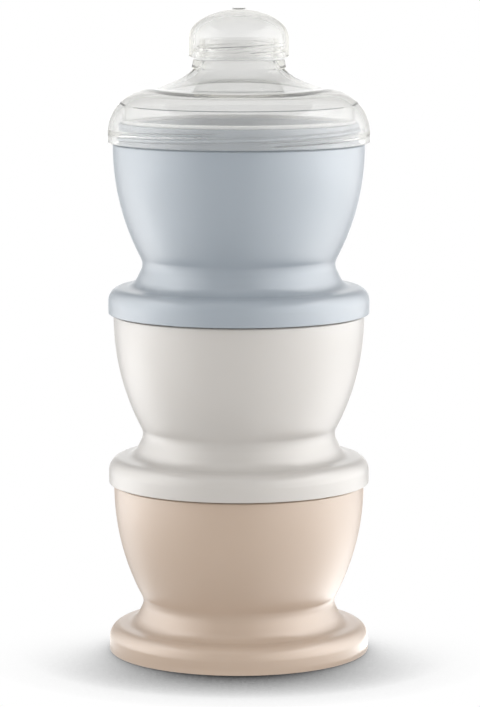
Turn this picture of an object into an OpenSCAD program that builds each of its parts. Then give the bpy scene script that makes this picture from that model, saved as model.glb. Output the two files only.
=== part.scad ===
// Stacking formula container: three bowls that screw onto one another, a clear funnel lid and a spout cap.
// The stack stands on the edge of its lowest skirt at z = 0, with its axis along Z. Sizes are in millimetres.

/* [Stack] */
// Height from one skirt edge to the next
tier_pitch = 49.7; // [44:0.1:65]
// Gap between a skirt edge and the shoulder below it
tier_gap = 0.3; // [0.2:0.05:0.8]

/* [Screw skirt] */
// Outer diameter of the skirts on the bowls and the lid
skirt_d = 76; // [72:0.5:90]
// Wall of the skirts
skirt_wall = 1.4; // [1.1:0.1:1.8]
// Straight height of a bowl's skirt
skirt_h = 3.7; // [3.4:0.1:6]
// Radius over the top of a bowl's skirt
skirt_round = 4.1; // [3.4:0.1:4.8]
// Slope of the ring between the skirt and the foot, in degrees
ring_slope = 5; // [3:1:8]
// Thickness of the ring over the rim below it
ring_t = 1.2; // [1:0.1:1.8]
// Rounding of the edge that a skirt stands on
edge_round = 0.4; // [0.2:0.1:0.6]

/* [Skirt thread] */
// Radial room for the threads between neck and skirt
thread_room = 1.9; // [1.6:0.1:2.4]
// Clearance over the crest of a skirt thread
thread_clear = 0.5; // [0.3:0.05:0.7]
// Rise of the skirt thread in one turn
thread_lead = 6; // [5:0.25:7]
// Length of each skirt thread, in turns
thread_turns = 0.5; // [0.35:0.05:0.55]
// Height of the lower end of a skirt thread above the skirt edge
thread_z = 1.2; // [1:0.1:1.5]
// Width of a skirt thread at its root
thread_w = 1.5; // [1.2:0.1:1.7]
// Width of a skirt thread at its crest
thread_crest = 0.7; // [0.4:0.1:0.9]

/* [Bowl] */
// Largest outer diameter of a bowl
bowl_d = 73; // [71.5:0.5:75]
// Straight band under the bowl's shoulder
band_h = 0.8; // [0.7:0.1:4]
// Radius at the bowl's shoulder
shoulder_round = 0.6; // [0.3:0.1:0.7]
// Diameter of the waist, where foot and side would meet without their rounding
waist_d = 55.2; // [50:0.2:56]
// Radius in the hollow of the waist
waist_round = 4; // [2:0.5:7]
// Diameter of the foot, where it would meet the ring without its rounding
foot_d = 61.2; // [58:0.2:62]
// Radius between the foot and the ring
foot_round = 4.5; // [1:0.5:5]
// Height of the foot from the ring to the waist
foot_h = 6.4; // [5.5:0.1:8]
// Wall of the bowl and its foot
bowl_wall = 1.8; // [1.2:0.1:2.5]
// Thickness of the floor
floor_t = 1.6; // [1.2:0.1:2.5]
// Radius between the floor and the wall
floor_round = 4; // [2:0.5:8]

/* [Rim] */
// Chamfer outside the rim
rim_chamfer = 0.5; // [0.3:0.1:0.6]
// Height of the ramp inside the neck
neck_ramp_h = 3; // [2:0.5:6]
// Thickness of a rim seal
rim_seal_t = 0.9; // [0.6:0.1:1.2]
// Width of a rim seal
rim_seal_w = 1.1; // [0.8:0.1:1.5]

/* [Funnel lid] */
// Straight height of the lid's skirt
lid_skirt_h = 2.6; // [2:0.1:4]
// Radius of the lid's dome
dome_round = 13.2; // [12:0.1:15]
// Wall of the dome and the funnel
lid_wall = 1.8; // [1.5:0.1:2.2]
// Width of the lip inside the dome that presses the rim seal
press_w = 0.7; // [0.5:0.1:0.8]
// Slope of the funnel where it leaves the dome, in degrees
funnel_slope = 13; // [8:1:18]
// Slope of the funnel where it meets the collar, in degrees
root_slope = 50; // [40:1:60]
// Height of the funnel from the crease to the collar
funnel_h = 5.4; // [4.5:0.1:9]
// Height of the collar under the spout
collar_h = 2.7; // [2:0.1:4]
// Draw-in of the collar towards its top
collar_taper = 0.35; // [0.1:0.05:0.5]
// Inset of the collar from the side of the cap
collar_inset = 0.85; // [0.6:0.05:1.1]
// Height and depth of the chamfer under the collar
collar_chamfer = 0.4; // [0.2:0.05:0.6]
// Height of the spout above its collar
spout_h = 6; // [5.6:0.1:9]
// Wall of the spout
spout_wall = 1.8; // [1.2:0.1:2.4]

/* [Spout cap] */
// Outer diameter of the cap
cap_d = 29; // [26:0.5:34]
// Wall of the cap
cap_wall = 1.9; // [1.4:0.1:2.2]
// Straight height of the cap's side
cap_side_h = 5.6; // [5.2:0.1:9]
// Rise of the cap's dome
cap_rise = 8.2; // [6:0.1:11]
// Diameter of the moulding pip on the crown
pip_d = 3.6; // [2:0.1:5]
// Height of the moulding pip
pip_h = 0.3; // [0.1:0.05:0.5]
// Thickness of the spout seal
spout_seal_t = 0.7; // [0.5:0.1:1]
// Radial clearance of the spout seal
spout_seal_clear = 0.15; // [0.1:0.05:0.25]

/* [Cap thread] */
// Radial room for the threads between spout and cap
cap_thread_room = 1.2; // [1:0.05:1.4]
// Clearance over the crest of a cap thread
cap_thread_clear = 0.35; // [0.25:0.05:0.4]
// Rise of the cap thread in one turn
cap_thread_lead = 4; // [3.6:0.1:4.5]
// Length of each cap thread, in turns
cap_thread_turns = 0.8; // [0.6:0.05:0.9]
// Height of the lower end of a cap thread above the cap's edge
cap_thread_z = 0.9; // [0.8:0.1:1.1]
// Width of a cap thread at its root
cap_thread_w = 1; // [0.8:0.05:1.1]
// Width of a cap thread at its crest
cap_thread_crest = 0.45; // [0.3:0.05:0.6]

/* [Hidden] */

$fn = 128;
// Segments in each round stretch of an outline
round_steps = 6;
curve_steps = 20;
// Angle between the sections of a thread, and how far a thread's root reaches into its wall
thread_step = 9;
thread_root = 0.5;
// Share of a thread's length over which each end runs out
thread_runout = 0.1;
// Threads side by side on each neck
thread_starts = 2;
// Where the cap's threads begin round the spout
cap_thread_phase = -3;
// Room between a rim seal and the round of the ceiling over it
seal_inset = 0.1;

// Radii of the skirt and of what screws into it
skirt_r = skirt_d / 2;
skirt_in_r = skirt_r - skirt_wall;
neck_r = skirt_in_r - thread_room;
thread_depth = thread_room - thread_clear;
inner_round = skirt_round - skirt_wall;
seal_r = skirt_r - skirt_round - seal_inset;
neck_in_r = seal_r - rim_seal_w;

// Heights in one tier, above its skirt edge
ring_arc_end = 90 - ring_slope;
ring_edge = [skirt_r - skirt_round, skirt_h] + skirt_round * [cos(ring_arc_end), sin(ring_arc_end)];
ceiling_z = skirt_h + skirt_round - ring_t;
rim_z = ceiling_z - rim_seal_t;
foot_r = foot_d / 2;
ring_z = ring_edge.y + (ring_edge.x - foot_r) * tan(ring_slope);
waist_r = waist_d / 2;
waist_z = ring_z + foot_h;
floor_z = waist_z + floor_t / 2;
shoulder_z = tier_pitch - tier_gap;

// The bowl's side is one arc from the waist to the band, where it stands upright
bowl_r = bowl_d / 2;
side_top_z = shoulder_z - band_h;
side_h = side_top_z - waist_z;
side_round = (pow(side_h, 2) + pow(bowl_r - waist_r, 2)) / (2 * (bowl_r - waist_r));
side_centre = [bowl_r - side_round, side_top_z];
// Where the neck is too wide for the shoulder, the shoulder lies lower and a flare over it carries the neck
flare_h = max(0, neck_r + 2 * shoulder_round - bowl_r);

// Heights in the lid, above its skirt edge, and the place of the lid and the cap in the stack
lid_base = 3 * tier_pitch;
crease_r = skirt_r - dome_round;
crease_z = lid_skirt_h + dome_round;
collar_z = crease_z + funnel_h;
collar_top = collar_z + collar_h;
spout_top = collar_top + spout_h;
cap_base = lid_base + collar_top + spout_seal_t;

// Radii of the cap and of the spout that it screws onto
cap_r = cap_d / 2;
cap_in_r = cap_r - cap_wall;
spout_r = cap_in_r - cap_thread_room;
bore_r = spout_r - spout_wall;
collar_r = cap_r - collar_inset;
cap_thread_depth = cap_thread_room - cap_thread_clear;

// Points on an arc from one angle to another
function arc(centre, radius, from, to, steps) =
    [for (i = [0:steps]) let (a = from + (to - from) * i / steps) centre + radius * [cos(a), sin(a)]];

// Points on a quarter of an ellipse, from its side to its top
function quarter(centre, width, height, steps) =
    [for (i = [0:steps]) centre + [width * cos(90 * i / steps), height * sin(90 * i / steps)]];

// Points on a curve that leaves a towards b and arrives at c from b
function bend(a, b, c, steps) =
    [for (i = [0:steps]) let (t = i / steps) pow(1 - t, 2) * a + 2 * t * (1 - t) * b + pow(t, 2) * c];

function unit(v) = v / norm(v);
function bearing(v) = atan2(v.y, v.x);

// Points on the arc from one direction to another, the short way round
function sweep(centre, radius, first, last, steps) =
    let (from = bearing(first), to = bearing(last))
    arc(centre, radius, from, from + (to - from + 540) % 360 - 180, steps);

// Points on the rounding of corner b between a and c, which ends where the shorter of its walls ends
function corner(a, b, c, radius, steps) =
    let (u = unit(a - b), v = unit(c - b), half = acos(u * v) / 2)
    let (reach = min(radius / tan(half), norm(a - b), norm(c - b)), fitted = reach * tan(half))
    let (centre = b + unit(u + v) * fitted / sin(half))
    sweep(centre, fitted, b + u * reach - centre, b + v * reach - centre, steps);

// Where the funnel's two slopes meet, one from the crease inwards and one down from its root at the collar
function funnel_turn(crease, root) =
    let (r = (root.y - crease.y + root.x * tan(root_slope) - crease.x * tan(funnel_slope))
             / (tan(root_slope) - tan(funnel_slope)))
    [r, crease.y + (crease.x - r) * tan(funnel_slope)];

// Radius of the bowl's side, or of the inside of its wall, at height z
function side_r(z, wall) = side_centre.x + sqrt(pow(side_round - wall, 2) - pow(z - side_centre.y, 2));
// Angle of the point at height z on an arc about the side's centre
function side_angle(z, wall) = asin((z - side_centre.y) / (side_round - wall));

// Outside of a skirt's edge, and the rounded top of a bowl's skirt
skirt_edge = arc([skirt_r - edge_round, edge_round], edge_round, -90, 0, round_steps);
skirt_top = arc([skirt_r - skirt_round, skirt_h], skirt_round, 0, ring_arc_end, curve_steps);

// The foot stands on the ring and runs into it
foot = [foot_r, ring_z];
foot_edge = corner(ring_edge, foot, [waist_r, waist_z], foot_round, curve_steps);

// The waist's rounding touches the slope of the foot and the arc of the side
foot_up = unit([waist_r, waist_z] - foot);
foot_out = [foot_up.y, -foot_up.x];
waist_from = foot + waist_round * foot_out - side_centre;
waist_reach = pow(side_round + waist_round, 2) - waist_from * waist_from;
waist_run = -waist_from * foot_up - sqrt(pow(waist_from * foot_up, 2) + waist_reach);
waist_centre = side_centre + waist_from + waist_run * foot_up;
waist = sweep(waist_centre, waist_round, -foot_out, side_centre - waist_centre, curve_steps);

// Side, shoulder and rim
side_end = side_angle(side_top_z - flare_h, 0);
side = arc(side_centre, side_round, bearing(waist_centre - side_centre), side_end, curve_steps);
shoulder_centre = [bowl_r - shoulder_round, shoulder_z - flare_h - shoulder_round];
shoulder = arc(shoulder_centre, shoulder_round, 0, 90, round_steps);
rim = [
    [neck_r, shoulder_z],
    [neck_r, tier_pitch + rim_z - rim_chamfer],
    [neck_r - rim_chamfer, tier_pitch + rim_z],
    [neck_in_r, tier_pitch + rim_z],
    [neck_in_r, shoulder_z]
];

// Inside of the bowl, down to its floor
ramp_z = shoulder_z - neck_ramp_h;
floor_centre_z = floor_z + floor_round;
floor_centre = [side_r(floor_centre_z, bowl_wall + floor_round), floor_centre_z];
floor_angle = side_angle(floor_centre_z, bowl_wall + floor_round);
inside = concat(
    arc(side_centre, side_round - bowl_wall, side_angle(ramp_z, bowl_wall), floor_angle, curve_steps),
    arc(floor_centre, floor_round, floor_angle, -90, round_steps),
    [[0, floor_z]]
);

// Hollow of the foot and the skirt, from the underside of the floor to the skirt's edge
socket = concat(
    [[0, floor_z - floor_t], [waist_r - bowl_wall, floor_z - floor_t], [foot_r - bowl_wall, ceiling_z]],
    arc([skirt_r - skirt_round, ceiling_z - inner_round], inner_round, 90, 0, curve_steps),
    [[skirt_in_r, 0]]
);

bowl_outline = concat(skirt_edge, skirt_top, foot_edge, waist, side, shoulder, rim, inside, socket);

// Outside of the lid: skirt, dome, funnel, collar and spout
crease = [crease_r, crease_z];
neck_root = [collar_r - collar_chamfer, collar_z];
lid_dome = arc([crease_r, lid_skirt_h], dome_round, 0, 90, curve_steps);
lid_funnel = bend(crease, funnel_turn(crease, neck_root), neck_root, curve_steps);
collar_top_r = collar_r - collar_taper;
lid_spout = [
    [collar_r, collar_z + collar_chamfer],
    [collar_top_r, collar_top],
    [spout_r, collar_top],
    [spout_r, spout_top - rim_chamfer],
    [spout_r - rim_chamfer, spout_top],
    [bore_r, spout_top]
];

// Inside of the lid, with the lip that presses the rim seal
crease_in = [crease_r, crease_z - lid_wall];
root_in = neck_root - lid_wall * [sin(root_slope), cos(root_slope)];
bore_bottom = [bore_r, collar_top];
lid_funnel_in = bend(root_in, funnel_turn(crease_in, root_in), crease_in, curve_steps);
press_in_r = seal_r - (rim_seal_w + press_w) / 2;
press_out_r = press_in_r + press_w;
dome_in_round = dome_round - lid_wall;
thread_in_round = dome_round - skirt_wall;
press = [[press_in_r, ceiling_z], [press_out_r, ceiling_z]];
press_in_angle = acos((press_in_r - crease_r) / dome_in_round);
press_out_angle = acos((press_out_r - crease_r) / thread_in_round);
lid_dome_in = arc([crease_r, lid_skirt_h], dome_in_round, 90, press_in_angle, curve_steps);
lid_skirt_in = arc([crease_r, lid_skirt_h], thread_in_round, press_out_angle, 0, curve_steps);

lid_outline = concat(
    skirt_edge, lid_dome, lid_funnel, lid_spout,
    [bore_bottom], lid_funnel_in, lid_dome_in, press, lid_skirt_in,
    [[skirt_in_r, 0]]
);

// Outline of the cap, with its pip on the crown
cap_crown = cap_side_h + cap_rise;
pip_r = pip_d / 2;
cap_dome = [for (p = quarter([0, cap_side_h], cap_r, cap_rise, curve_steps)) if (p.x > pip_r) p];
cap_dome_in = quarter([0, cap_side_h], cap_in_r, cap_rise - cap_wall, curve_steps);
cap_outline = concat(
    arc([cap_r - edge_round, edge_round], edge_round, -90, 0, round_steps),
    cap_dome,
    [[pip_r, cap_crown], [pip_r, cap_crown + pip_h], [0, cap_crown + pip_h]],
    [for (i = [curve_steps:-1:0]) cap_dome_in[i]],
    [[cap_in_r, 0]]
);

// A solid of revolution about Z from its half outline
module turned(outline) {
    rotate_extrude()
        polygon(outline);
}

// A flat ring between two radii
module flat_ring(inner_r, outer_r, thickness) {
    difference() {
        cylinder(r = outer_r, h = thickness);
        translate([0, 0, -thickness])
            cylinder(r = inner_r, h = 3 * thickness);
    }
}

// One thread: a ridge on a wall of radius wall_r, standing out of it (side = 1) or into it (side = -1)
module ridge(wall_r, side, depth, root_w, crest_w, lead, turns) {
    steps = ceil(turns * 360 / thread_step);
    // How far the crest stands off the wall at share t of the length; both ends run out inside the wall
    function full_at(t) = min(1, t / thread_runout, (1 - t) / thread_runout);
    function crest_at(t) = (depth + thread_root) * full_at(t) - thread_root;
    function at(t, r, z) = [r * cos(360 * turns * t), r * sin(360 * turns * t), lead * turns * t + z];
    function section(t) = let (foot = wall_r - side * 2 * thread_root, crest = wall_r + side * crest_at(t)) [
        at(t, foot, -root_w / 2),
        at(t, foot, root_w / 2),
        at(t, crest, crest_w / 2),
        at(t, crest, -crest_w / 2)
    ];
    points = [for (i = [0:steps]) each section(i / steps)];
    ends = side > 0 ? [[0, 1, 2, 3], [for (k = [3:-1:0]) 4 * steps + k]]
                    : [[3, 2, 1, 0], [for (k = [0:3]) 4 * steps + k]];
    sides = [
        for (i = [0:steps - 1], k = [0:3])
            let (a = 4 * i + k, b = 4 * i + (k + 1) % 4)
            each side > 0 ? [[a, a + 4, b], [b, a + 4, b + 4]] : [[b, a + 4, a], [b + 4, a + 4, b]]
    ];
    polyhedron(points, concat(ends, sides));
}

// The threads of one screw joint. Those of the two pieces lie half a pitch apart
module threads(wall_r, side, depth, root_w, crest_w, lead, turns) {
    turn = 360 / thread_starts;
    for (i = [0:thread_starts - 1])
        rotate([0, 0, i * turn + (side > 0 ? 0 : turn / 2)])
            ridge(wall_r, side, depth, root_w, crest_w, lead, turns);
}

module neck_threads() {
    translate([0, 0, tier_pitch + thread_z])
        threads(neck_r, 1, thread_depth, thread_w, thread_crest, thread_lead, thread_turns);
}

module skirt_threads() {
    translate([0, 0, thread_z])
        threads(skirt_in_r, -1, thread_depth, thread_w, thread_crest, thread_lead, thread_turns);
}

module cap_threads(wall_r, side) {
    rotate([0, 0, cap_thread_phase])
        threads(wall_r, side, cap_thread_depth, cap_thread_w, cap_thread_crest, cap_thread_lead,
                cap_thread_turns);
}

module bowl() {
    union() {
        turned(bowl_outline);
        neck_threads();
        skirt_threads();
    }
}

module rim_seal() {
    translate([0, 0, tier_pitch + rim_z])
        flat_ring(neck_in_r, seal_r, rim_seal_t);
}

module bottom_bowl() {
    color([0.93, 0.82, 0.74])
        bowl();
}

module bottom_rim_seal() {
    color([0.95, 0.95, 0.94])
        rim_seal();
}

module middle_bowl() {
    color([0.93, 0.92, 0.91])
        translate([0, 0, tier_pitch])
            bowl();
}

module middle_rim_seal() {
    color([0.95, 0.95, 0.94])
        translate([0, 0, tier_pitch])
            rim_seal();
}

module top_bowl() {
    color([0.8, 0.83, 0.87])
        translate([0, 0, 2 * tier_pitch])
            bowl();
}

module top_rim_seal() {
    color([0.95, 0.95, 0.94])
        translate([0, 0, 2 * tier_pitch])
            rim_seal();
}

module funnel_lid() {
    color([0.95, 0.95, 0.94, 0.35])
        translate([0, 0, lid_base])
            union() {
                turned(lid_outline);
                skirt_threads();
                translate([0, 0, collar_top + spout_seal_t + cap_thread_z])
                    cap_threads(spout_r, 1);
            }
}

module spout_seal() {
    color([0.95, 0.95, 0.94])
        translate([0, 0, lid_base + collar_top])
            flat_ring(spout_r + spout_seal_clear, collar_top_r - spout_seal_clear, spout_seal_t);
}

module spout_cap() {
    color([0.95, 0.95, 0.94, 0.35])
        translate([0, 0, cap_base])
            union() {
                turned(cap_outline);
                translate([0, 0, cap_thread_z])
                    cap_threads(cap_in_r, -1);
            }
}

bottom_bowl();
bottom_rim_seal();
middle_bowl();
middle_rim_seal();
top_bowl();
top_rim_seal();
funnel_lid();
spout_seal();
spout_cap();
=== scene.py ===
"""Looks of a stacking formula container: moulded bowls, soft seals, a clear funnel lid and a clear spout cap.

The pieces are turned from outlines of (radius, height) points about the stack's axis, in metres.
"""

import math
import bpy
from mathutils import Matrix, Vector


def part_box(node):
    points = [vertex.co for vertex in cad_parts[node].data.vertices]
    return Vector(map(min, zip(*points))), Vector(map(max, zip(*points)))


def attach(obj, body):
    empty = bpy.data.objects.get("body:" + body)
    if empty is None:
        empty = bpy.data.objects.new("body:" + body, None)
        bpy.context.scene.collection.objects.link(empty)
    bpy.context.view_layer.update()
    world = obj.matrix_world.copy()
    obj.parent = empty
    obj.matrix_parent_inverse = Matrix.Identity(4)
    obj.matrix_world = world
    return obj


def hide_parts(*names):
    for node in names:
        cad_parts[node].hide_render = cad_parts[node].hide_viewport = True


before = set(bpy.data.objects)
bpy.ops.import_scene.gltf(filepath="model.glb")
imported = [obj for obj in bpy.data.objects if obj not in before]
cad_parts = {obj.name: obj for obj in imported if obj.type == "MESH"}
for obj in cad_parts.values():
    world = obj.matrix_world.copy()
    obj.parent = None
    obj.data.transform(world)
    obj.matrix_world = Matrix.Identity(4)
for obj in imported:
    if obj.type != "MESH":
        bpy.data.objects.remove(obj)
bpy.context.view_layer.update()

from types import SimpleNamespace

import bpy
from bpy.props import FloatProperty, FloatVectorProperty, IntProperty, PointerProperty
from mathutils import Vector

MM = 0.001

BOWLS = ("bottom_bowl", "middle_bowl", "top_bowl")
BOWL_SLOTS = ("peach_plastic", "white_plastic", "blue_plastic")
RIM_SEALS = ("bottom_rim_seal", "middle_rim_seal", "top_rim_seal")

# Places that the pieces share, from the frame's own boxes
BOWL_LOW, BOWL_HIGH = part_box("bottom_bowl")
TIER_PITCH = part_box("middle_bowl")[0].z - BOWL_LOW.z
LID_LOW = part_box("funnel_lid")[0]
CAP_LOW, CAP_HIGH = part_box("spout_cap")

# Steps in the round stretches of an outline
CURVE_STEPS = 28
FILLET_STEPS = 6
# Points closer than this are one point
MERGE = 0.002 * MM
# Edges sharper than this stay crisp
CRISP = math.radians(40)
# Threads side by side on each neck. Those in a skirt or cap lie half a pitch from those of the neck in it
THREAD_STARTS = 2
HALF_PITCH = math.pi / THREAD_STARTS
# Share of its height that a ridge keeps at its ends, which lie inside the wall
LEAST_RIDGE = 0.05
# Share of a turn by which a point may lie before the start of its ridge
BEFORE_START = 0.02

# Roughness of the bowls. A range that runs across 0.274 shows as patches in the picture
BOWL_GLOSS = (0.277, 0.297)
# Share of a colour that is left in the flow marks of the bowls and under the dust on the seals
FLOW_SHADE = 0.97
DUST_SHADE = 0.95
# How strongly clear plastic takes up light along its way through a wall, per metre
CLEAR_DENSITY = 210.0

# Radius and sides of the floor
FLOOR_R = 12.0
FLOOR_SIDES = 96
# How far the painted shadow on the floor reaches, its samples, and the openness at which it is black and
# white
SHADOW_REACH = 0.04
SHADOW_SAMPLES = 16
SHADOW_RANGE = (0.5, 0.97)
# Place of the right-hand lamp, the point that both lamps aim at, and their size
LAMP_PLACE = (0.78, -0.45, 0.28)
LAMP_AIM = (0, 0, 0.1)
LAMP_SIZE = 0.5
# Cards that the object mirrors: how far off and how high the walls are, and where the tables begin and lie
CARD_R = 0.6
CARD_H = 0.9
TABLE_R = 39 * MM
TABLE_Z = 1 * MM
CARD_STEPS = 24
# Angles in degrees that the cards span round the stack's axis
LEFT_SPAN = (105, 270)
RIGHT_SPAN = (-90, 75)
BACK_SPAN = (75, 105)
# Share of a card's brightness that is left at the front and at the back
FRONT_GLOW = 0.04
BACK_GLOW = 0.1
# Distances between which a card gets brighter
NEAR_REACH = (0.07, 0.24)
# Height of the camera's sensor in millimetres, and how far the camera sees
SENSOR_H = 36.0
SIGHT = 100.0

bl_info = {
    "name": "Formula container",
    "version": (1, 0, 0),
    "blender": (4, 5, 0),
    "location": "View3D > Sidebar > Formula container",
    "description": "Builds the bowls, seals, lid and cap of a stacking formula container, and its studio",
    "category": "Add Mesh",
}


def length(name, description, default):
    """A property for a length in metres."""
    return FloatProperty(
        name=name, description=description, default=default, min=0.0, precision=5, unit="LENGTH"
    )


def number(name, description, default):
    """A property for a plain number."""
    return FloatProperty(name=name, description=description, default=default)


def slope(name, description, degrees):
    """A property for an angle."""
    return FloatProperty(
        name=name, description=description, default=math.radians(degrees), subtype="ANGLE", unit="ROTATION"
    )


def paint(name, description, default):
    """A property for a linear colour."""
    return FloatVectorProperty(
        name=name, description=description, default=default, size=3, min=0.0, max=1.0, subtype="COLOR"
    )


class BowlSizes(bpy.types.PropertyGroup):
    """Sizes of one bowl with its foot and screw skirt"""

    pitch: length("Pitch", "Height from one skirt edge to the next", TIER_PITCH)
    gap: length("Gap", "Gap between a skirt edge and the shoulder below it", 0.3 * MM)
    skirt_r: length("Skirt radius", "Outer radius of the screw skirts", BOWL_HIGH.x)
    skirt_wall: length("Skirt wall", "Wall of the screw skirts", 1.4 * MM)
    skirt_h: length("Skirt height", "Straight height of the skirt", 3.7 * MM)
    skirt_round: length("Skirt round", "Radius over the top of the skirt", 4.1 * MM)
    edge_round: length("Edge round", "Rounding of the edge that a skirt stands on", 0.4 * MM)
    ring_slope: slope("Ring slope", "Slope of the ring between the skirt and the foot", 5)
    ring_t: length("Ring thickness", "Thickness of the ring over the rim below it", 1.2 * MM)
    foot_r: length("Foot radius", "Radius where foot and ring would meet unrounded", 30.6 * MM)
    foot_round: length("Foot round", "Radius between the foot and the ring", 4.5 * MM)
    foot_h: length("Foot height", "Height of the foot from the ring to the waist", 6.4 * MM)
    waist_r: length("Waist radius", "Radius where foot and side would meet unrounded", 27.6 * MM)
    waist_round: length("Waist round", "Radius in the hollow of the waist", 4 * MM)
    side_r: length("Side radius", "Largest outer radius of the bowl", 36.5 * MM)
    band_h: length("Band height", "Straight band under the shoulder", 0.8 * MM)
    shoulder_round: length("Shoulder round", "Radius at the shoulder", 0.6 * MM)
    wall: length("Wall", "Wall of the bowl and its foot", 1.8 * MM)
    floor_t: length("Floor", "Thickness of the floor", 1.6 * MM)
    floor_round: length("Floor round", "Radius between the floor and the wall", 4 * MM)
    ramp_h: length("Ramp height", "Height of the ramp inside the neck", 3 * MM)
    rim_round: length("Rim round", "Radius outside the rim", 0.5 * MM)
    fillet: length("Fillet", "Rounding of the small inner corners", 0.3 * MM)


class ThreadSizes(bpy.types.PropertyGroup):
    """Sizes of the two screw threads"""

    room: length("Skirt room", "Radial room for the threads between neck and skirt", 1.9 * MM)
    clear: length("Skirt clearance", "Clearance over the crest of a skirt thread", 0.5 * MM)
    lead: length("Skirt lead", "Rise of a skirt thread in one turn", 6 * MM)
    turns: number("Skirt turns", "Length of a skirt thread in turns", 0.5)
    start: length("Skirt start", "Height of a skirt thread's lower end above the skirt edge", 1.2 * MM)
    root: length("Skirt root", "Width of a skirt thread at its root", 1.5 * MM)
    crest: length("Skirt crest", "Width of a skirt thread at its crest", 0.7 * MM)
    cap_room: length("Cap room", "Radial room for the threads between spout and cap", 1.2 * MM)
    cap_clear: length("Cap clearance", "Clearance over the crest of a cap thread", 0.35 * MM)
    cap_lead: length("Cap lead", "Rise of a cap thread in one turn", 4 * MM)
    cap_turns: number("Cap turns", "Length of a cap thread in turns", 0.8)
    cap_start: length("Cap start", "Height of a cap thread's lower end above the cap's edge", 0.9 * MM)
    cap_root: length("Cap root", "Width of a cap thread at its root", 1 * MM)
    cap_crest: length("Cap crest", "Width of a cap thread at its crest", 0.45 * MM)
    cap_phase: slope("Cap phase", "Where the cap threads begin round the spout", -3)
    sunk: length("Sunk root", "How far a thread's root reaches into its wall", 0.5 * MM)
    runout: number("Run-out", "Share of a thread over which each end fades", 0.1)


class SealSizes(bpy.types.PropertyGroup):
    """Sizes of the soft rings"""

    rim_t: length("Rim seal thickness", "Thickness of a rim seal", 0.9 * MM)
    rim_w: length("Rim seal width", "Width of a rim seal", 1.1 * MM)
    rim_inset: length("Rim seal inset", "Room between a rim seal and the round over it", 0.1 * MM)
    spout_t: length("Spout seal thickness", "Thickness of the spout seal", 0.7 * MM)
    spout_clear: length("Spout seal clearance", "Radial clearance of the spout seal", 0.15 * MM)
    edge: length("Edge round", "Rounding along the rings' edges", 0.15 * MM)


class LidSizes(bpy.types.PropertyGroup):
    """Sizes of the funnel lid"""

    skirt_h: length("Skirt height", "Straight height of the lid's skirt", 2.6 * MM)
    dome_round: length("Dome round", "Radius of the lid's dome", 13.2 * MM)
    wall: length("Wall", "Wall of the dome and the funnel", 1.8 * MM)
    press_w: length("Pressing lip", "Width of the lip inside the dome that presses the rim seal", 0.7 * MM)
    funnel_slope: slope("Funnel slope", "Slope of the funnel where it leaves the dome", 13)
    root_slope: slope("Root slope", "Slope of the funnel where it meets the collar", 50)
    funnel_h: length("Funnel height", "Height of the funnel from the crease to the collar", 5.4 * MM)
    collar_h: length("Collar height", "Height of the collar under the spout", 2.7 * MM)
    collar_taper: length("Collar taper", "Draw-in of the collar towards its top", 0.35 * MM)
    collar_inset: length("Collar inset", "Inset of the collar from the side of the cap", 0.85 * MM)
    collar_chamfer: length("Collar chamfer", "Height and depth of the chamfer under the collar", 0.4 * MM)
    spout_h: length("Spout height", "Height of the spout above its collar", 6 * MM)
    spout_wall: length("Spout wall", "Wall of the spout", 1.8 * MM)
    fillet: length("Fillet", "Rounding of the lid's small edges", 0.25 * MM)


class CapSizes(bpy.types.PropertyGroup):
    """Sizes of the spout cap"""

    radius: length("Radius", "Outer radius of the cap", CAP_HIGH.x)
    wall: length("Wall", "Wall of the cap", 1.9 * MM)
    side_h: length("Side height", "Straight height of the cap's side", 5.6 * MM)
    rise: length("Dome rise", "Rise of the cap's dome", 8.2 * MM)
    pip_r: length("Pip radius", "Radius of the moulding pip on the crown", 1.8 * MM)
    pip_h: length("Pip height", "Height of the moulding pip", 0.3 * MM)
    edge_round: length("Edge round", "Rounding of the cap's lower edge", 0.4 * MM)


class Finishes(bpy.types.PropertyGroup):
    """Colours of the four plastics and the rubber"""

    peach: paint("Peach plastic", "Colour of the bottom bowl", (0.545, 0.43, 0.34))
    white: paint("White plastic", "Colour of the middle bowl", (0.575, 0.55, 0.52))
    blue: paint("Blue plastic", "Colour of the top bowl", (0.36, 0.40, 0.44))
    clear: paint("Clear plastic", "Tint of the lid and the cap", (0.89, 0.888, 0.868))
    seal: paint("Seal rubber", "Colour of the soft rings", (0.86, 0.86, 0.84))


class StageSettings(bpy.types.PropertyGroup):
    """Camera, lamps, cards and floor of the studio"""

    camera_place: FloatVectorProperty(
        name="Camera place", description="Place of the camera", default=(0.00032, -0.974, 0.2146),
        subtype="TRANSLATION", unit="LENGTH",
    )
    camera_tilt: slope("Camera tilt", "How far the camera looks down", 7.44)
    focal_px: number("Focal length", "Focal length in picture pixels", 3368)
    picture_h: IntProperty(name="Picture height", description="Height of the picture in pixels", default=707)
    fill: number("Fill light", "Strength of the light from all round", 0.78)
    side_power: number("Side lamps", "Power of each side lamp in watts", 1.8)
    left_panel: number("Left panel", "Brightness of the left reflection", 6.4)
    right_panel: number("Right panel", "Brightness of the right reflection", 8.2)
    left_table: number("Left table", "Brightness of the left table", 5.6)
    right_table: number("Right table", "Brightness of the right table", 5.9)
    back_card: number("Back card", "Brightness of the card behind", 1.5)
    floor: paint("Floor", "Colour of the floor", (0.95, 0.95, 0.95))


class ContainerSettings(bpy.types.PropertyGroup):
    """All settings of the formula container"""

    segments: IntProperty(name="Segments", description="Segments round the axis", default=192, min=24)
    bowl: PointerProperty(type=BowlSizes)
    thread: PointerProperty(type=ThreadSizes)
    seal: PointerProperty(type=SealSizes)
    lid: PointerProperty(type=LidSizes)
    cap: PointerProperty(type=CapSizes)
    finish: PointerProperty(type=Finishes)
    stage: PointerProperty(type=StageSettings)


def point(r, z):
    """A point of an outline."""
    return Vector((r, z))


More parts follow.
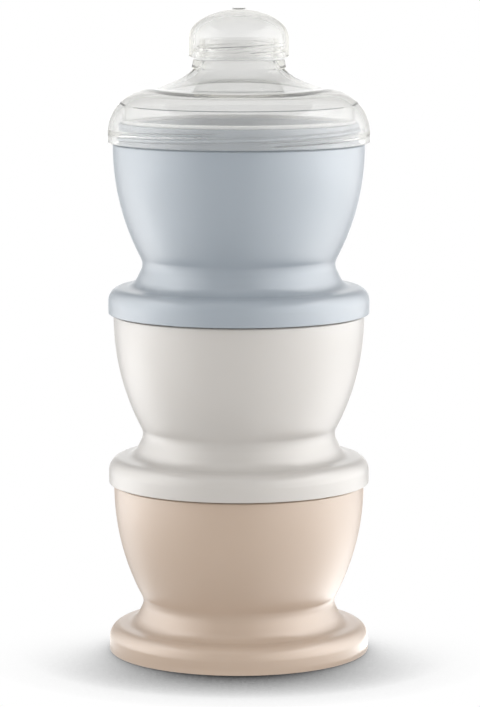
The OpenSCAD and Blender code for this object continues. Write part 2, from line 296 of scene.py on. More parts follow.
def arc(centre, radius, start, end, steps=CURVE_STEPS):
    """Points on an arc from one angle to another."""
    angles = (start + (end - start) * i / steps for i in range(steps + 1))
    return [centre + radius * Vector((math.cos(a), math.sin(a))) for a in angles]


def sweep(centre, radius, first, last, steps=FILLET_STEPS):
    """Points on the arc from one direction to another, the short way round."""
    start = math.atan2(first.y, first.x)
    turn = math.atan2(last.y, last.x) - start
    turn = (turn + 3 * math.pi) % (2 * math.pi) - math.pi
    return arc(centre, radius, start, start + turn, steps)


def corner(a, b, c, radius, steps=FILLET_STEPS):
    """Points on the rounding of corner b between a and c."""
    u = (a - b).normalized()
    v = (c - b).normalized()
    half = u.angle(v) / 2
    centre = b + (u + v).normalized() * radius / math.sin(half)
    reach = radius / math.tan(half)
    return sweep(centre, radius, b + u * reach - centre, b + v * reach - centre, steps)


def rounded(points, radius, steps=FILLET_STEPS):
    """An outline's inner points, each rounded, between a first and a last point that only give directions."""
    rows = zip(points, points[1:], points[2:])
    return [p for a, b, c in rows for p in corner(a, b, c, radius, steps)]


def bend(a, b, c, steps=CURVE_STEPS):
    """Points on a curve that leaves a towards b and arrives at c from b."""
    shares = (i / steps for i in range(steps + 1))
    return [(1 - t) ** 2 * a + 2 * t * (1 - t) * b + t**2 * c for t in shares]


def quarter(centre, width, height, steps=CURVE_STEPS):
    """Points on a quarter of an ellipse, from its side to its top."""
    angles = (math.pi / 2 * i / steps for i in range(steps + 1))
    return [centre + Vector((width * math.cos(a), height * math.sin(a))) for a in angles]


def screw_fit(settings):
    """Radii and heights that the bowls, the lid and the seals share."""
    bowl = settings.bowl
    skirt_in_r = bowl.skirt_r - bowl.skirt_wall
    seal_r = bowl.skirt_r - bowl.skirt_round - settings.seal.rim_inset
    ceiling_z = bowl.skirt_h + bowl.skirt_round - bowl.ring_t
    return SimpleNamespace(
        skirt_in_r=skirt_in_r,
        neck_r=skirt_in_r - settings.thread.room,
        seal_r=seal_r,
        neck_in_r=seal_r - settings.seal.rim_w,
        ceiling_z=ceiling_z,
        rim_z=ceiling_z - settings.seal.rim_t,
        shoulder_z=bowl.pitch - bowl.gap,
    )


def spout_fit(settings):
    """Radii and heights that the lid, the cap and the spout seal share, above the lid's skirt edge."""
    lid, cap, thread = settings.lid, settings.cap, settings.thread
    cap_in_r = cap.radius - cap.wall
    spout_r = cap_in_r - thread.cap_room
    crease_z = lid.skirt_h + lid.dome_round
    collar_z = crease_z + lid.funnel_h
    collar_r = cap.radius - lid.collar_inset
    return SimpleNamespace(
        cap_in_r=cap_in_r,
        spout_r=spout_r,
        bore_r=spout_r - lid.spout_wall,
        crease=point(settings.bowl.skirt_r - lid.dome_round, crease_z),
        collar_r=collar_r,
        collar_top_r=collar_r - lid.collar_taper,
        collar_z=collar_z,
        collar_top=collar_z + lid.collar_h,
        spout_top=collar_z + lid.collar_h + lid.spout_h,
        cap_base=collar_z + lid.collar_h + settings.seal.spout_t,
    )


def skirt_edge(settings, inner_r):
    """Rounded lower edge of a skirt, from its inside to its outside."""
    bowl = settings.bowl
    inner = corner(point(inner_r, bowl.skirt_h), point(inner_r, 0), point(bowl.skirt_r, 0), bowl.fillet)
    outer = arc(point(bowl.skirt_r - bowl.edge_round, bowl.edge_round), bowl.edge_round, -math.pi / 2, 0,
                FILLET_STEPS)
    return inner + outer


def bowl_outline(settings):
    """Half outline of a bowl, from the middle of its underside round to the middle of its floor."""
    bowl = settings.bowl
    fit = screw_fit(settings)
    ring_end = math.pi / 2 - bowl.ring_slope
    skirt_top = arc(point(bowl.skirt_r - bowl.skirt_round, bowl.skirt_h), bowl.skirt_round, 0, ring_end)
    ring_edge = skirt_top[-1]
    foot = point(bowl.foot_r, ring_edge.y + (ring_edge.x - bowl.foot_r) * math.tan(bowl.ring_slope))
    waist = point(bowl.waist_r, foot.y + bowl.foot_h)
    foot_edge = corner(ring_edge, foot, waist, bowl.foot_round, CURVE_STEPS)

    # The side is one arc from the waist to the band, where it stands upright
    side_top = fit.shoulder_z - bowl.band_h
    side_h = side_top - waist.y
    bulge = bowl.side_r - bowl.waist_r
    side_round = (side_h**2 + bulge**2) / (2 * bulge)
    side_centre = point(bowl.side_r - side_round, side_top)

    # The waist's rounding touches the slope of the foot and the arc of the side
    foot_up = (waist - foot).normalized()
    foot_out = Vector((foot_up.y, -foot_up.x))
    away = foot + bowl.waist_round * foot_out - side_centre
    reach = (side_round + bowl.waist_round) ** 2 - away.dot(away)
    run = -away.dot(foot_up) - math.sqrt(away.dot(foot_up) ** 2 + reach)
    waist_centre = side_centre + away + run * foot_up
    hollow = sweep(waist_centre, bowl.waist_round, -foot_out, side_centre - waist_centre, CURVE_STEPS)
    side_start = math.atan2(waist_centre.y - side_centre.y, waist_centre.x - side_centre.x)
    side = arc(side_centre, side_round, side_start, 0, 2 * CURVE_STEPS)
    shoulder = arc(point(bowl.side_r - bowl.shoulder_round, fit.shoulder_z - bowl.shoulder_round),
                   bowl.shoulder_round, 0, math.pi / 2, FILLET_STEPS)

    # Neck and rim, and the inside of the wall
    rim_z = bowl.pitch + fit.rim_z
    neck_low, neck_top = point(fit.neck_r, fit.shoulder_z), point(fit.neck_r, rim_z)
    bore_low, bore_top = point(fit.neck_in_r, fit.shoulder_z), point(fit.neck_in_r, rim_z)
    neck_foot = corner(shoulder[-1], neck_low, neck_top, bowl.fillet)
    rim_out = corner(neck_low, neck_top, bore_top, bowl.rim_round)
    rim_in = corner(neck_top, bore_top, bore_low, bowl.fillet)
    inner_round = side_round - bowl.wall

    def inner(z, extra=0.0):
        """Angle and radius of the wall's inside at height z, or of a line further in."""
        return (math.asin((z - side_centre.y) / (inner_round - extra)),
                side_centre.x + math.sqrt((inner_round - extra) ** 2 - (z - side_centre.y) ** 2))

    ramp_z = fit.shoulder_z - bowl.ramp_h
    floor_z = waist.y + bowl.floor_t / 2
    floor_angle, floor_r = inner(floor_z + bowl.floor_round, bowl.floor_round)
    inside = arc(side_centre, inner_round, inner(ramp_z)[0], floor_angle, 2 * CURVE_STEPS)
    floor_edge = arc(point(floor_r, floor_z + bowl.floor_round), bowl.floor_round, floor_angle, -math.pi / 2)

    # Hollow of the foot and the skirt
    under_z = floor_z - bowl.floor_t
    ceiling_r = bowl.skirt_r - bowl.skirt_round
    ceiling_round = bowl.skirt_round - bowl.skirt_wall
    foot_in = rounded(
        [point(0, under_z), point(bowl.waist_r - bowl.wall, under_z),
         point(bowl.foot_r - bowl.wall, fit.ceiling_z), point(ceiling_r, fit.ceiling_z)], bowl.fillet)
    socket = arc(point(ceiling_r, fit.ceiling_z - ceiling_round), ceiling_round, math.pi / 2, 0)
    return [
        point(0, under_z), *foot_in, *socket, *skirt_edge(settings, fit.skirt_in_r), *skirt_top, *foot_edge,
        *hollow, *side, *shoulder, *neck_foot, *rim_out, *rim_in, bore_low, *inside, *floor_edge,
        point(0, floor_z),
    ]


def funnel_turn(lid, crease, root):
    """Where the funnel's two slopes meet: one from the crease inwards, one down from the collar."""
    low, high = math.tan(lid.funnel_slope), math.tan(lid.root_slope)
    r = (root.y - crease.y + root.x * high - crease.x * low) / (high - low)
    return point(r, crease.y + (crease.x - r) * low)


def lid_outline(settings):
    """Closed half outline of the lid: skirt, dome, funnel, collar and spout, then its inside."""
    lid, bowl = settings.lid, settings.bowl
    fit, spout = screw_fit(settings), spout_fit(settings)
    dome_centre = point(spout.crease.x, lid.skirt_h)
    dome = arc(dome_centre, lid.dome_round, 0, math.pi / 2, 2 * CURVE_STEPS)
    neck_root = point(spout.collar_r - lid.collar_chamfer, spout.collar_z)
    funnel = bend(spout.crease, funnel_turn(lid, spout.crease, neck_root), neck_root)
    collar = rounded(
        [neck_root, point(spout.collar_r, spout.collar_z + lid.collar_chamfer),
         point(spout.collar_top_r, spout.collar_top), point(spout.spout_r, spout.collar_top),
         point(spout.spout_r, spout.spout_top), point(spout.bore_r, spout.spout_top),
         point(spout.bore_r, spout.collar_top)], lid.fillet)

    # Inside of the funnel and the dome, with the lip that presses the rim seal
    crease_in = point(spout.crease.x, spout.crease.y - lid.wall)
    root_in = neck_root - lid.wall * Vector((math.sin(lid.root_slope), math.cos(lid.root_slope)))
    funnel_in = bend(root_in, funnel_turn(lid, crease_in, root_in), crease_in)
    dome_in_round = lid.dome_round - lid.wall
    skirt_in_round = lid.dome_round - bowl.skirt_wall
    press_in_r = (fit.seal_r + fit.neck_in_r - lid.press_w) / 2
    press_out_r = press_in_r + lid.press_w
    press_in_angle = math.acos((press_in_r - dome_centre.x) / dome_in_round)
    press_out_angle = math.acos((press_out_r - dome_centre.x) / skirt_in_round)
    dome_in = arc(dome_centre, dome_in_round, math.pi / 2, press_in_angle)
    skirt_in = arc(dome_centre, skirt_in_round, press_out_angle, 0)
    press = rounded([dome_in[-1], point(press_in_r, fit.ceiling_z), point(press_out_r, fit.ceiling_z),
                     skirt_in[0]], lid.fillet)
    return [
        *skirt_edge(settings, fit.skirt_in_r), *dome, *funnel, *collar, point(spout.bore_r, spout.collar_top),
        *funnel_in, *dome_in, *press, *skirt_in,
    ]


def cap_outline(settings):
    """Half outline of the cap, from its crown round its lower edge to the inside of the crown."""
    cap = settings.cap
    inner_r = cap.radius - cap.wall
    crown = cap.side_h + cap.rise
    centre = point(0, cap.side_h)
    dome = [p for p in quarter(centre, cap.radius, cap.rise, 2 * CURVE_STEPS) if p.x > cap.pip_r + cap.pip_h]
    dome_in = quarter(centre, inner_r, cap.rise - cap.wall, 2 * CURVE_STEPS)
    top = point(0, crown + cap.pip_h)
    pip = corner(top, point(cap.pip_r, top.y), point(cap.pip_r, crown), cap.pip_h / 2)
    edge = corner(point(cap.radius, cap.side_h), point(cap.radius, 0), point(inner_r, 0), cap.edge_round)
    edge_in = corner(point(cap.radius, 0), point(inner_r, 0), point(inner_r, cap.side_h), cap.edge_round / 2)
    return [top, *pip, *reversed(dome), *edge, *edge_in, *dome_in]


def deselect():
    """Leaves nothing selected, so that the next operator acts on its own piece alone."""
    if bpy.context.mode != "OBJECT":
        bpy.ops.object.mode_set(mode="OBJECT")
    bpy.ops.object.select_all(action="DESELECT")


def activate(obj):
    """Selects one object and makes it the active one."""
    deselect()
    obj.select_set(True)
    bpy.context.view_layer.objects.active = obj


def draw_outline(name, outline, closed):
    """Draws an outline in the XZ plane by extruding one vertex, and stays in edit mode with all selected."""
    deselect()
    bpy.ops.mesh.primitive_plane_add(size=MM, location=(0, 0, 0))
    obj = bpy.context.object
    obj.name = name
    obj.data.name = name
    bpy.ops.object.mode_set(mode="EDIT")
    bpy.ops.mesh.merge(type="CENTER")
    here = outline[0]
    bpy.ops.transform.translate(value=(here.x, 0, here.y))
    for there in [*outline[1:], *(outline[:1] if closed else [])]:
        step = there - here
        if step.length > MERGE:
            bpy.ops.mesh.extrude_region_move(TRANSFORM_OT_translate={"value": (step.x, 0, step.y)})
            here = there
    bpy.ops.mesh.select_all(action="SELECT")
    bpy.ops.mesh.remove_doubles(threshold=MERGE)
    return obj


def turn(name, outline, segments, closed=False):
    """Spins an outline once round the Z axis into a closed, outward-facing mesh."""
    obj = draw_outline(name, outline, closed)
    bpy.ops.mesh.spin(steps=segments, angle=2 * math.pi, center=(0, 0, 0), axis=(0, 0, 1))
    bpy.ops.mesh.select_all(action="SELECT")
    bpy.ops.mesh.remove_doubles(threshold=MERGE)
    bpy.ops.mesh.normals_make_consistent(inside=False)
    bpy.ops.object.mode_set(mode="OBJECT")
    return obj


def thread_ridge(name, wall_r, side, depth, root_w, crest_w, lead, turns, thread, segments):
    """One thread: a ridge on a wall of radius wall_r, standing out of it (side 1) or into it (side -1)."""
    sunk_r = wall_r - side * thread.sunk
    crest_r = wall_r + side * depth
    sunk_w = root_w + (root_w - crest_w) * thread.sunk / depth
    section = [
        point(sunk_r, -sunk_w / 2), point(crest_r, -crest_w / 2), point(crest_r, crest_w / 2),
        point(sunk_r, sunk_w / 2),
    ]
    obj = draw_outline(name, [section[0], *rounded(section, crest_w / 3), section[3]], closed=True)
    bpy.ops.object.mode_set(mode="OBJECT")
    bpy.ops.object.modifier_add(type="SCREW")
    screw = obj.modifiers[-1]
    screw.angle = 2 * math.pi * turns
    screw.screw_offset = lead * turns
    screw.steps = screw.render_steps = round(segments * turns)
    bpy.ops.object.modifier_apply(modifier=screw.name)

    # Both ends of the crest sink into the wall
    for vertex in obj.data.vertices:
        r = math.hypot(vertex.co.x, vertex.co.y)
        turned = math.atan2(vertex.co.y, vertex.co.x) / (2 * math.pi)
        share = ((turned + BEFORE_START) % 1 - BEFORE_START) / turns
        full = max(0.0, min(1.0, share / thread.runout, (1 - share) / thread.runout))
        height = side * (r - sunk_r)
        scale = (sunk_r + side * height * (LEAST_RIDGE + (1 - LEAST_RIDGE) * full)) / r
        vertex.co.x *= scale
        vertex.co.y *= scale
    bpy.ops.object.mode_set(mode="EDIT")
    bpy.ops.mesh.select_all(action="DESELECT")
    bpy.ops.mesh.select_mode(type="EDGE")
    bpy.ops.mesh.select_non_manifold(extend=False, use_wire=False, use_multi_face=False,
                                     use_non_contiguous=False, use_verts=False)
    bpy.ops.mesh.edge_face_add()
    bpy.ops.mesh.select_mode(type="VERT")
    bpy.ops.mesh.select_all(action="SELECT")
    bpy.ops.mesh.normals_make_consistent(inside=False)
    bpy.ops.object.mode_set(mode="OBJECT")
    return obj


def place(obj, z=0.0, angle=0.0):
    """Lifts and turns a mesh about the stack's axis, and leaves its object at the origin."""
    activate(obj)
    obj.location.z = z
    obj.rotation_euler.z = angle
    bpy.ops.object.transform_apply(location=True, rotation=True, scale=True)
    return obj


def copy_of(obj, name):
    """A copy of an object with a mesh of its own."""
    activate(obj)
    bpy.ops.object.duplicate(linked=False)
    copy = bpy.context.object
    copy.name = name
    copy.data.name = name
    return copy


def add_threads(body, z, ridge, phase=0.0):
    """Joins one thread for each start of the screw to a body, as one solid."""
    for i in range(THREAD_STARTS):
        tool = place(copy_of(ridge, "thread"), z, phase + 2 * math.pi * i / THREAD_STARTS)
        activate(body)
        bpy.ops.object.modifier_add(type="BOOLEAN")
        union = body.modifiers[-1]
        union.operation = "UNION"
        union.solver = "MANIFOLD"
        union.object = tool
        bpy.ops.object.modifier_apply(modifier=union.name)
        bpy.data.objects.remove(tool)
    bpy.data.objects.remove(ridge)


def skirt_ridge(settings, wall_r, side):
    """A thread of the skirt joints."""
    t = settings.thread
    return thread_ridge("thread", wall_r, side, t.room - t.clear, t.root, t.crest, t.lead, t.turns, t,
                        settings.segments)


def cap_ridge(settings, wall_r, side):
    """A thread of the cap joint."""
    t = settings.thread
    return thread_ridge("thread", wall_r, side, t.cap_room - t.cap_clear, t.cap_root, t.cap_crest, t.cap_lead,
                        t.cap_turns, t, settings.segments)


def finish_piece(obj, node, material):
    """Gives a piece its finish and its place in the assembly."""
    activate(obj)
    obj.data.materials.clear()
    obj.data.materials.append(material)
    bpy.ops.object.shade_smooth_by_angle(angle=CRISP)
    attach(obj, node)
    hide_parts(node)
    return obj


def feed(tree, socket, value):
    """Sets a node's input, or links it where the value is another node's output."""
    if isinstance(value, bpy.types.NodeSocket):
        tree.links.new(value, socket)
    else:
        socket.default_value = value


def add_node(tree, kind, **inputs):
    """A shader node with some of its inputs fed by name."""
    node = tree.nodes.new(kind)
    for name, value in inputs.items():
        feed(tree, node.inputs[name], value)
    return node


def combined(tree, operation, a, b=0.0):
    """The result of a sum or comparison of two values, each a number or another node's output."""
    node = tree.nodes.new("ShaderNodeMath")
    node.operation = operation
    for value, socket in zip((a, b), node.inputs):
        feed(tree, socket, value)
    return node.outputs[0]


def mix_shaders(tree, factor, dim, seen):
    """The output of two shaders mixed by a factor."""
    node = tree.nodes.new("ShaderNodeMixShader")
    for socket, value in zip(node.inputs, (factor, dim.outputs[0], seen.outputs[0])):
        tree.links.new(value, socket)
    return node.outputs[0]


def new_material(name):
    """An empty procedural material, its main shader and the object's coordinates."""
    material = bpy.data.materials.new(name)
    material.use_nodes = True
    tree = material.node_tree
    shader = tree.nodes["Principled BSDF"]
    coordinates = tree.nodes.new("ShaderNodeTexCoord").outputs["Object"]
    return material, tree, shader, coordinates


def noise(tree, coordinates, size, detail=3.0):
    """Noise whose features are about one size across, in metres."""
    node = add_node(tree, "ShaderNodeTexNoise", Vector=coordinates, Scale=1 / size, Detail=detail)
    return node.outputs["Fac"]


def ranged(tree, value, low, high, start=0.3, end=0.7):
    """A value mapped from start and end to low and high. Most noise lies between the usual start and end."""
    ends = {"From Min": start, "From Max": end, "To Min": low, "To Max": high}
    return add_node(tree, "ShaderNodeMapRange", Value=value, **ends).outputs["Result"]


def mixed(tree, factor, a, b):
    """Two colours mixed by a factor."""
    node = tree.nodes.new("ShaderNodeMix")
    node.data_type = "RGBA"
    tree.links.new(factor, node.inputs["Factor"])
    node.inputs["A"].default_value = (*a, 1)
    node.inputs["B"].default_value = (*b, 1)
    return node.outputs["Result"]


def add_bump(tree, shader, height, strength, distance):
    """Relief on a surface from a height."""
    bump = add_node(tree, "ShaderNodeBump", Height=height, Strength=strength, Distance=distance)
    tree.links.new(bump.outputs["Normal"], shader.inputs["Normal"])


def moulded_plastic(name, colour):
    """Satin translucent plastic with faint flow marks, orange peel and uneven gloss."""
    material, tree, shader, coordinates = new_material(name)
    deep = tuple(c * FLOW_SHADE for c in colour)
    flow = ranged(tree, noise(tree, coordinates, 30 * MM, detail=2.0), 0, 1)
    tree.links.new(mixed(tree, flow, colour, deep), shader.inputs["Base Color"])
    wear = noise(tree, coordinates, 12 * MM, detail=3.0)
    tree.links.new(ranged(tree, wear, *BOWL_GLOSS), shader.inputs["Roughness"])
    add_bump(tree, shader, noise(tree, coordinates, 1.6 * MM, detail=1.0), 0.03, 0.03 * MM)
    shader.inputs["IOR"].default_value = 1.5
    shader.inputs["Subsurface Weight"].default_value = 0.35
    shader.inputs["Subsurface Radius"].default_value = (1.0, 0.9, 0.8)
    shader.inputs["Subsurface Scale"].default_value = 0.8 * MM
    return material


def clear_plastic(name, colour):
    """Clear thin-walled plastic with faint flow waves and a little haze, under a glossy skin."""
    material, tree, shader, coordinates = new_material(name)
    shader.inputs["Base Color"].default_value = (1, 1, 1, 1)
    haze = noise(tree, coordinates, 6 * MM, detail=4.0)
    tree.links.new(ranged(tree, haze, 0.02, 0.05), shader.inputs["Roughness"])
    add_bump(tree, shader, noise(tree, coordinates, 5 * MM, detail=1.0), 0.02, 0.05 * MM)
    shader.inputs["IOR"].default_value = 1.08
    shader.inputs["Transmission Weight"].default_value = 0.89
    shader.inputs["Coat Weight"].default_value = 0.2
    shader.inputs["Coat Roughness"].default_value = 0.06
    shader.inputs["Coat IOR"].default_value = 1.5
    depth = add_node(tree, "ShaderNodeVolumeAbsorption", Color=(*colour, 1), Density=CLEAR_DENSITY)
    tree.links.new(depth.outputs["Volume"], tree.nodes["Material Output"].inputs["Volume"])
    return material


def seal_rubber(name, colour):
    """Soft white rubber with a dull, slightly dusty skin."""
    material, tree, shader, coordinates = new_material(name)
    dust = ranged(tree, noise(tree, coordinates, 3 * MM, detail=5.0), 0, 1)
    dull = tuple(c * DUST_SHADE for c in colour)
    tree.links.new(mixed(tree, dust, colour, dull), shader.inputs["Base Color"])
    tree.links.new(ranged(tree, noise(tree, coordinates, 1 * MM), 0.35, 0.5), shader.inputs["Roughness"])
    add_bump(tree, shader, noise(tree, coordinates, 0.4 * MM, detail=2.0), 0.1, 0.02 * MM)
    shader.inputs["Subsurface Weight"].default_value = 0.5
    shader.inputs["Subsurface Radius"].default_value = (1.0, 1.0, 0.9)
    shader.inputs["Subsurface Scale"].default_value = 1 * MM
    return material


def slot_material(slot, maker, colour):
    """The finish of a slot, made once, beside the plain material that the frame has for it."""
    name = f"{slot}_finish"
    return bpy.data.materials.get(name) or maker(name, tuple(colour))


class FORMULA_OT_add_bowls(bpy.types.Operator):
    """Adds the three bowls, each one moulding with its foot, floor, neck and screw skirt"""

    bl_idname = "formula.add_bowls"
    bl_label = "Add bowls"

    def execute(self, context):
        settings = context.scene.formula_container
        bowl, finish = settings.bowl, settings.finish
        fit = screw_fit(settings)
        first = turn("bowl", bowl_outline(settings), settings.segments)
        add_threads(first, settings.thread.start, skirt_ridge(settings, fit.skirt_in_r, -1), HALF_PITCH)
        add_threads(first, bowl.pitch + settings.thread.start, skirt_ridge(settings, fit.neck_r, 1))
        colours = (finish.peach, finish.white, finish.blue)
        for i, (node, slot, colour) in enumerate(zip(BOWLS, BOWL_SLOTS, colours)):
            piece = place(copy_of(first, f"{node}_moulding"), i * bowl.pitch)
            finish_piece(piece, node, slot_material(slot, moulded_plastic, colour))
        bpy.data.objects.remove(first)
        return {"FINISHED"}


class FORMULA_OT_add_seals(bpy.types.Operator):
    """Adds the soft rings on the three rims and under the spout cap"""

    bl_idname = "formula.add_seals"
    bl_label = "Add seals"

    def execute(self, context):
        settings = context.scene.formula_container
        seal = settings.seal
        fit, spout = screw_fit(settings), spout_fit(settings)
        material = slot_material("seal_rubber", seal_rubber, settings.finish.seal)

        def ring(name, inner_r, outer_r, thickness):
            """A flat ring with rounded edges."""
            corners = [
                point(inner_r, 0), point(outer_r, 0), point(outer_r, thickness), point(inner_r, thickness),
            ]
            outline = rounded([corners[-1], *corners, corners[0]], seal.edge)
            return turn(name, outline, settings.segments, closed=True)

        first = ring("rim_seal", fit.neck_in_r, fit.seal_r, seal.rim_t)
        for i, node in enumerate(RIM_SEALS):
            piece = place(copy_of(first, f"{node}_ring"), (i + 1) * settings.bowl.pitch + fit.rim_z)
            finish_piece(piece, node, material)
        bpy.data.objects.remove(first)
        inner_r = spout.spout_r + seal.spout_clear
        outer_r = spout.collar_top_r - seal.spout_clear
        piece = ring("spout_seal_ring", inner_r, outer_r, seal.spout_t)
        place(piece, LID_LOW.z + spout.collar_top)
        finish_piece(piece, "spout_seal", material)
        return {"FINISHED"}


class FORMULA_OT_add_funnel_lid(bpy.types.Operator):
    """Adds the clear lid with its dome, funnel, collar and threaded spout"""

    bl_idname = "formula.add_funnel_lid"
    bl_label = "Add funnel lid"

    def execute(self, context):
        settings = context.scene.formula_container
        thread = settings.thread
        fit, spout = screw_fit(settings), spout_fit(settings)
        lid = turn("funnel_lid_shell", lid_outline(settings), settings.segments, closed=True)
        add_threads(lid, thread.start, skirt_ridge(settings, fit.skirt_in_r, -1), HALF_PITCH)
        add_threads(lid, spout.cap_base + thread.cap_start, cap_ridge(settings, spout.spout_r, 1),
                    thread.cap_phase)
        place(lid, LID_LOW.z)
        material = slot_material("clear_plastic", clear_plastic, settings.finish.clear)
        finish_piece(lid, "funnel_lid", material)
        return {"FINISHED"}


class FORMULA_OT_add_spout_cap(bpy.types.Operator):
    """Adds the clear domed cap with the threads inside it"""

    bl_idname = "formula.add_spout_cap"
    bl_label = "Add spout cap"

    def execute(self, context):
        settings = context.scene.formula_container
        thread = settings.thread
        cap = turn("spout_cap_shell", cap_outline(settings), settings.segments)
        add_threads(cap, thread.cap_start, cap_ridge(settings, spout_fit(settings).cap_in_r, -1),
                    HALF_PITCH + thread.cap_phase)
        place(cap, CAP_LOW.z)
        material = slot_material("clear_plastic", clear_plastic, settings.finish.clear)
        finish_piece(cap, "spout_cap", material)
        return {"FINISHED"}


def seen_rays(tree):
    """1 for rays that show the backdrop itself: from the camera, in a reflection or through clear plastic."""
    rays = tree.nodes.new("ShaderNodeLightPath").outputs
    near = combined(tree, "MAXIMUM", rays["Is Camera Ray"], rays["Is Glossy Ray"])
    return combined(tree, "MAXIMUM", near, rays["Is Transmission Ray"])


def white_world(scene, fill):
    """A white backdrop to the eye, with a weaker even light on the object."""
    world = bpy.data.worlds.new("studio")
    world.use_nodes = True
    tree = world.node_tree
    tree.nodes.clear()
    light = add_node(tree, "ShaderNodeBackground", Color=(1, 1, 1, 1), Strength=fill)
    white = add_node(tree, "ShaderNodeBackground", Color=(1, 1, 1, 1), Strength=1.0)
    add_node(tree, "ShaderNodeOutputWorld", Surface=mix_shaders(tree, seen_rays(tree), light, white))
    scene.world = world


def side_lamp(side, power):
    """A large soft lamp at the left (side -1) or the right (side 1), aimed at the stack."""
    deselect()
    place_at = Vector((side * LAMP_PLACE[0], *LAMP_PLACE[1:]))
    bpy.ops.object.light_add(type="AREA", location=place_at)
    lamp = bpy.context.object
    lamp.name = "lamp_side"
    lamp.data.shape = "RECTANGLE"
    lamp.data.size = LAMP_SIZE
    lamp.data.size_y = LAMP_SIZE
    lamp.data.energy = power
    lamp.rotation_euler = (Vector(LAMP_AIM) - place_at).to_track_quat("-Z", "Y").to_euler()
    lamp.visible_camera = False
    lamp.visible_glossy = False
    lamp.visible_transmission = False


def pale_floor(colour):
    """A pale floor, white to the eye, with painted shadow where the object hides the open side behind it."""
    deselect()
    bpy.ops.mesh.primitive_circle_add(
        vertices=FLOOR_SIDES, radius=FLOOR_R, fill_type="NGON", location=(0, 0, 0)
    )
    floor = bpy.context.object
    floor.name = "floor"
    material, tree, shader, _ = new_material("pale_floor")
    shader.inputs["Base Color"].default_value = (*colour, 1)
    shader.inputs["Roughness"].default_value = 1.0
    shader.inputs["Specular IOR Level"].default_value = 0.0
    # Painted shadow: the camera sees the floor glow white, dimmed where nearby geometry hides the side behind
    behind = add_node(tree, "ShaderNodeCombineXYZ", X=0.0, Y=1.0, Z=0.0).outputs["Vector"]
    near = add_node(tree, "ShaderNodeAmbientOcclusion", Distance=SHADOW_REACH, Normal=behind)
    near.samples = SHADOW_SAMPLES
    shade = ranged(tree, near.outputs["AO"], 0, 1, *SHADOW_RANGE)
    path = tree.nodes.new("ShaderNodeLightPath")
    painted_shadow = add_node(tree, "ShaderNodeMix", Factor=path.outputs["Is Camera Ray"], A=1.0, B=shade)
    white = add_node(tree, "ShaderNodeEmission", Color=(1, 1, 1, 1), Strength=painted_shadow.outputs["Result"])
    surface = mix_shaders(tree, seen_rays(tree), shader, white)
    tree.links.new(surface, tree.nodes["Material Output"].inputs["Surface"])
    floor.data.materials.append(material)


def card_glow(tree, coordinates, brightness, rise, fall, near):
    """Brightness that rises from the front to the side, falls to the back, and grows with the distance.

    The angles of the rise and the fall are degrees from straight aside, positive to the back. The share near
    is what is left close to the object.
    """
    axes = add_node(tree, "ShaderNodeSeparateXYZ", Vector=coordinates).outputs
    aside = combined(tree, "ABSOLUTE", axes["X"])
    angle = combined(tree, "ARCTAN2", axes["Y"], aside)
    rising = ranged(tree, angle, FRONT_GLOW, 1, *map(math.radians, rise))
    falling = ranged(tree, angle, 1, BACK_GLOW, *map(math.radians, fall))
    squares = [combined(tree, "MULTIPLY", axes[name], axes[name]) for name in "XY"]
    distance = combined(tree, "SQRT", combined(tree, "ADD", *squares))
    share = combined(tree, "MULTIPLY", combined(tree, "MINIMUM", rising, falling),
                     ranged(tree, distance, near, 1, *NEAR_REACH))
    return combined(tree, "MULTIPLY", share, brightness)


def seen_through(tree, glow):
    """Brightness of a card mirrored through clear plastic too, and plain white straight through it."""
    rays = tree.nodes.new("ShaderNodeLightPath").outputs
    glossy = combined(tree, "MINIMUM", rays["Glossy Depth"], 1.0)
    dull = combined(tree, "MINIMUM", rays["Diffuse Depth"], 1.0)
    mirrored = combined(tree, "GREATER_THAN", glossy, dull)
    return combined(tree, "MAXIMUM", combined(tree, "MULTIPLY", glow, mirrored), rays["Is Transmission Ray"])


def card(name, outline, span, brightness, rise=None, fall=None, near=1.0, through=False):
    """A curved card round the object, even or with a rise and a fall, that only reflections show."""
    start, end = map(math.radians, span)
    obj = draw_outline(name, outline, closed=False)
    bpy.ops.mesh.spin(steps=CARD_STEPS, angle=end - start, center=(0, 0, 0), axis=(0, 0, -1))
    bpy.ops.object.mode_set(mode="OBJECT")
    place(obj, angle=start)
    material, tree, shader, coordinates = new_material(name)
    shader.inputs["Base Color"].default_value = (0, 0, 0, 1)
    shader.inputs["Roughness"].default_value = 1.0
    shader.inputs["Specular IOR Level"].default_value = 0.0
    shader.inputs["Emission Color"].default_value = (1, 1, 1, 1)
    if rise:
        glow = card_glow(tree, coordinates, brightness, rise, fall, near)
        if through:
            glow = seen_through(tree, glow)
        tree.links.new(glow, shader.inputs["Emission Strength"])
    else:
        shader.inputs["Emission Strength"].default_value = brightness
    obj.data.materials.append(material)
    obj.visible_camera = False
    obj.visible_diffuse = False
    obj.visible_shadow = False
    obj.visible_transmission = through


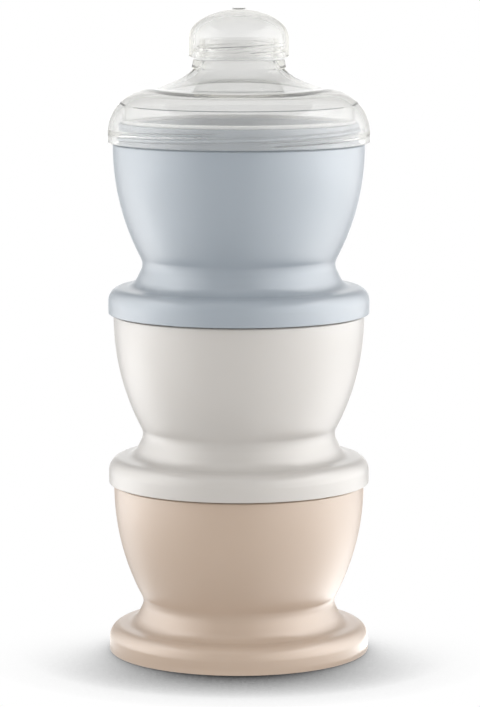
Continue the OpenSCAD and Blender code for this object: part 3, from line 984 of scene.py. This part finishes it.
class FORMULA_OT_set_stage(bpy.types.Operator):
    """Sets the camera, the lamps, the cards and the floor"""

    bl_idname = "formula.set_stage"
    bl_label = "Set stage"

    def execute(self, context):
        scene = context.scene
        stage = scene.formula_container.stage
        scene.view_settings.view_transform = "Standard"
        white_world(scene, stage.fill)
        pale_floor(stage.floor)
        for side in (-1, 1):
            side_lamp(side, stage.side_power)
        wall = [point(CARD_R, 0), point(CARD_R, CARD_H)]
        table = [point(TABLE_R, TABLE_Z), point(CARD_R, TABLE_Z)]
        card("panel_left", wall, LEFT_SPAN, stage.left_panel, rise=(-58, -8), fall=(5, 60), through=True)
        card("table_left", table, LEFT_SPAN, stage.left_table, rise=(-62, 10), fall=(15, 60), near=0.35)
        card("panel_right", wall, RIGHT_SPAN, stage.right_panel, rise=(-80, -12), fall=(5, 60), through=True)
        card("table_right", table, RIGHT_SPAN, stage.right_table, rise=(-85, -10), fall=(10, 60), near=0.8)
        card("card_back", wall, BACK_SPAN, stage.back_card)

        deselect()
        look = (math.pi / 2 - stage.camera_tilt, 0, 0)
        bpy.ops.object.camera_add(location=stage.camera_place, rotation=look)
        camera = context.object
        camera.name = "camera"
        camera.data.sensor_fit = "VERTICAL"
        camera.data.sensor_height = SENSOR_H
        camera.data.lens = SENSOR_H * stage.focal_px / stage.picture_h
        camera.data.clip_end = SIGHT
        scene.camera = camera
        return {"FINISHED"}


class FORMULA_PT_sidebar(bpy.types.Panel):
    """Lists the container's sizes, finishes and operators"""

    bl_idname = "FORMULA_PT_sidebar"
    bl_label = "Formula container"
    bl_space_type = "VIEW_3D"
    bl_region_type = "UI"
    bl_category = "Formula container"

    def draw(self, context):
        settings = context.scene.formula_container
        layout = self.layout
        layout.prop(settings, "segments")
        for group in (settings.bowl, settings.thread, settings.seal, settings.lid, settings.cap,
                      settings.finish, settings.stage):
            box = layout.box()
            box.label(text=group.bl_rna.description)
            for name in group.bl_rna.properties.keys():
                if name not in ("rna_type", "name"):
                    box.prop(group, name)
        for operator in OPERATORS:
            layout.operator(operator.bl_idname)


GROUPS = (BowlSizes, ThreadSizes, SealSizes, LidSizes, CapSizes, Finishes, StageSettings, ContainerSettings)
OPERATORS = (
    FORMULA_OT_add_bowls,
    FORMULA_OT_add_seals,
    FORMULA_OT_add_funnel_lid,
    FORMULA_OT_add_spout_cap,
    FORMULA_OT_set_stage,
)
CLASSES = (*GROUPS, *OPERATORS, FORMULA_PT_sidebar)


def register():
    """Adds the classes, and the settings to each scene."""
    for cls in CLASSES:
        bpy.utils.register_class(cls)
    bpy.types.Scene.formula_container = PointerProperty(type=ContainerSettings)


def unregister():
    """Takes the settings and the classes out again."""
    del bpy.types.Scene.formula_container
    for cls in reversed(CLASSES):
        bpy.utils.unregister_class(cls)


def main():
    """Builds the container and its stage."""
    register()
    bpy.ops.formula.add_bowls()
    bpy.ops.formula.add_seals()
    bpy.ops.formula.add_funnel_lid()
    bpy.ops.formula.add_spout_cap()
    bpy.ops.formula.set_stage()


if __name__ == "__main__":
    main()
